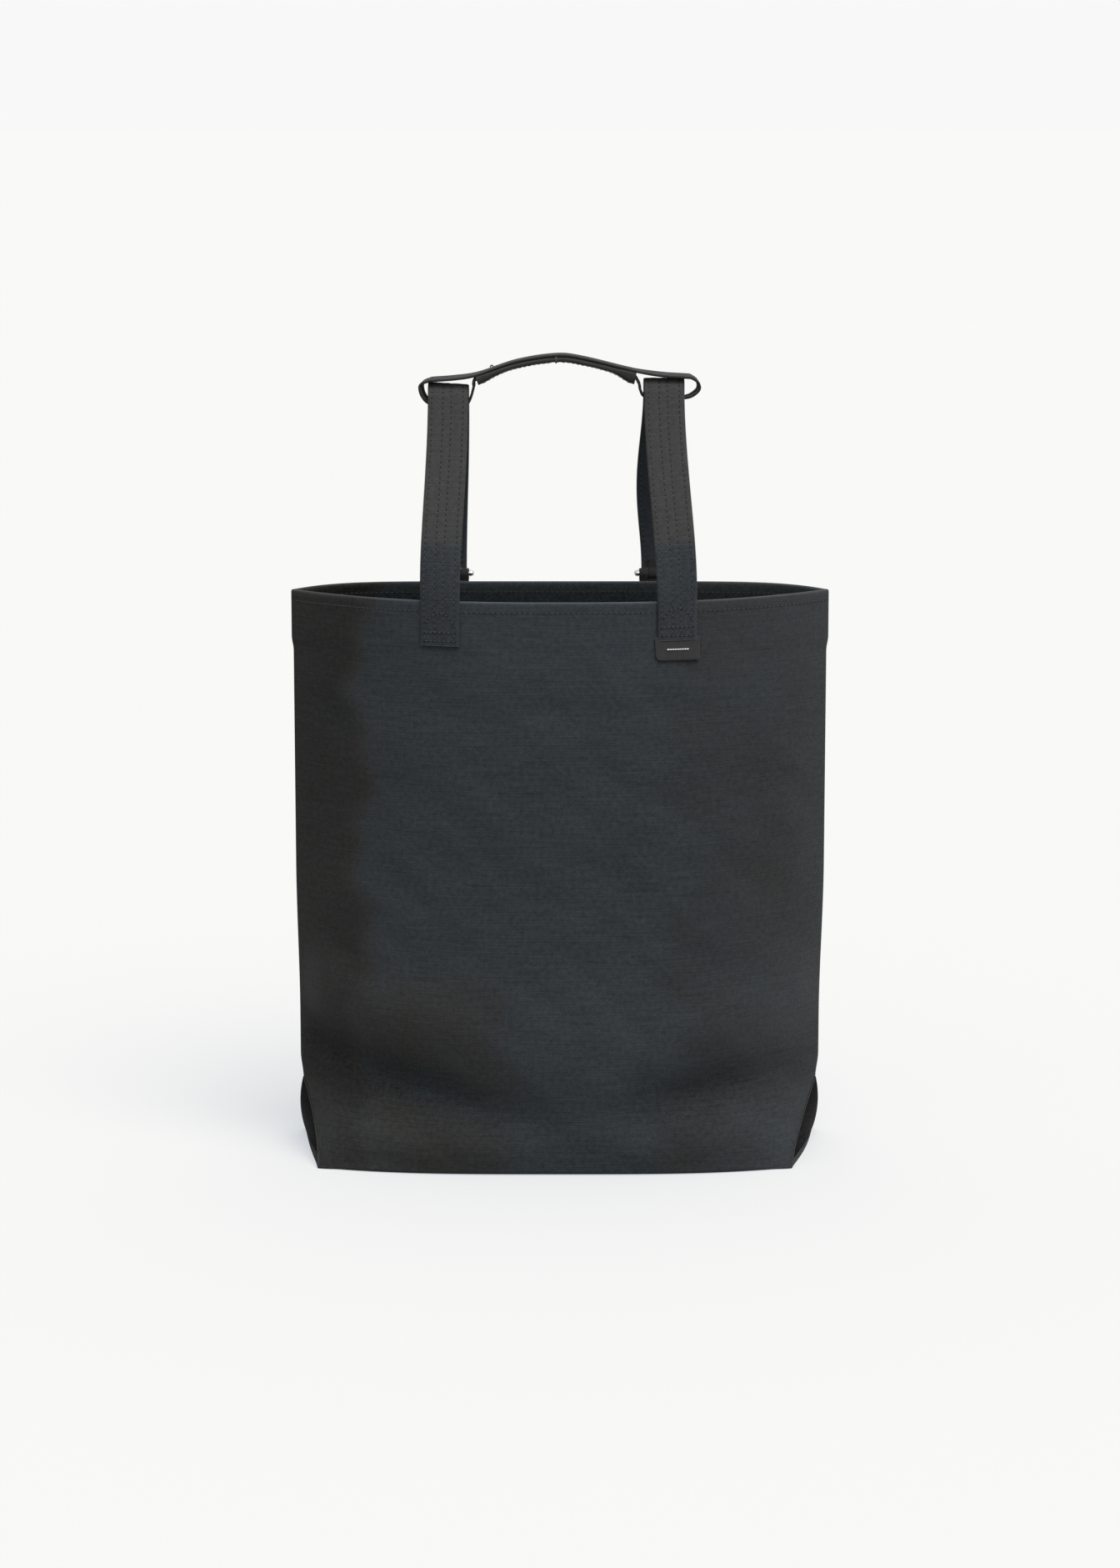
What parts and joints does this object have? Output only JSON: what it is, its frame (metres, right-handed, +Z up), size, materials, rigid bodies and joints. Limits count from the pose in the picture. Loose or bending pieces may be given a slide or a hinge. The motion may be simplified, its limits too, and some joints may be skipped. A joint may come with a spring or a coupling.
{
  "type": "canvas tote bag",
  "caption": "Upright open-topped canvas tote bag with a folded box base, flat webbing shoulder straps and a short carry grip threaded through the straps.",
  "frame": {"origin": "middle of the bounding box on the plane the base rests on", "axes": "+Z up towards the straps, front panel towards -Y, +X to the right of a person who faces the front panel"},
  "size_m": [0.407, 0.152, 0.6128],
  "materials": {
    "canvas": "matt plain-weave canvas, blue black",
    "webbing": "matt ribbed webbing, charcoal",
    "binding": "matt black seam tape",
    "label_weave": "fine satin-woven label, blank",
    "steel": "polished steel"
  },
  "bodies": {
    "bag": {"front_panel": "canvas", "back_panel": "canvas", "base_panel": "canvas", "left_gusset": "canvas", "right_gusset": "canvas", "front_hem": "canvas", "back_hem": "canvas", "left_seam_binding": "binding", "right_seam_binding": "binding", "left_front_anchor": "webbing", "left_front_root": "webbing", "left_back_root": "webbing", "left_strap_eye": "webbing", "left_back_tab": "webbing", "left_cross_pin": "steel", "right_front_anchor": "webbing", "right_front_root": "webbing", "right_back_root": "webbing", "right_strap_eye": "webbing", "right_back_tab": "webbing", "right_cross_pin": "steel"},
    "left_strap": {"left_front_leg": "webbing", "left_strap_top": "webbing", "left_back_leg": "webbing"},
    "right_strap": {"right_front_leg": "webbing", "right_strap_top": "webbing", "right_back_leg": "webbing"},
    "grip": {"grip_upper_band": "webbing", "grip_left_loop": "webbing", "grip_right_loop": "webbing", "grip_lower_band": "webbing", "grip_sleeve_left": "canvas", "grip_sleeve_right": "canvas"},
    "label": {"label": "label_weave"}
  },
  "joints": [
    {"name": "left_strap_lean", "type": "hinge", "parent": "bag", "child": "left_strap", "pos_m": [0, 0, 0.4345], "axis": [1, 0, 0], "range_deg": [-15, 15], "stiffness_Nm_per_rad": 1.2, "deforming": ["left_front_root", "left_back_root"]},
    {"name": "right_strap_lean", "type": "hinge", "parent": "bag", "child": "right_strap", "pos_m": [0, 0, 0.4345], "axis": [1, 0, 0], "range_deg": [-15, 15], "stiffness_Nm_per_rad": 1.2, "deforming": ["right_front_root", "right_back_root"]},
    {"name": "grip_tilt", "type": "hinge", "parent": "left_strap", "child": "grip", "pos_m": [0, 0, 0.5765], "axis": [1, 0, 0], "range_deg": [-15, 15]},
    {"name": "label_flap", "type": "hinge", "parent": "bag", "child": "label", "pos_m": [0.08696, -0.06567, 0.408], "axis": [-0.9665, -0.2567, 0], "range_deg": [0, 75]}
  ],
  "couplings": [
    {"joint": "right_strap_lean", "follows": "left_strap_lean", "ratio": 1}
  ]
}
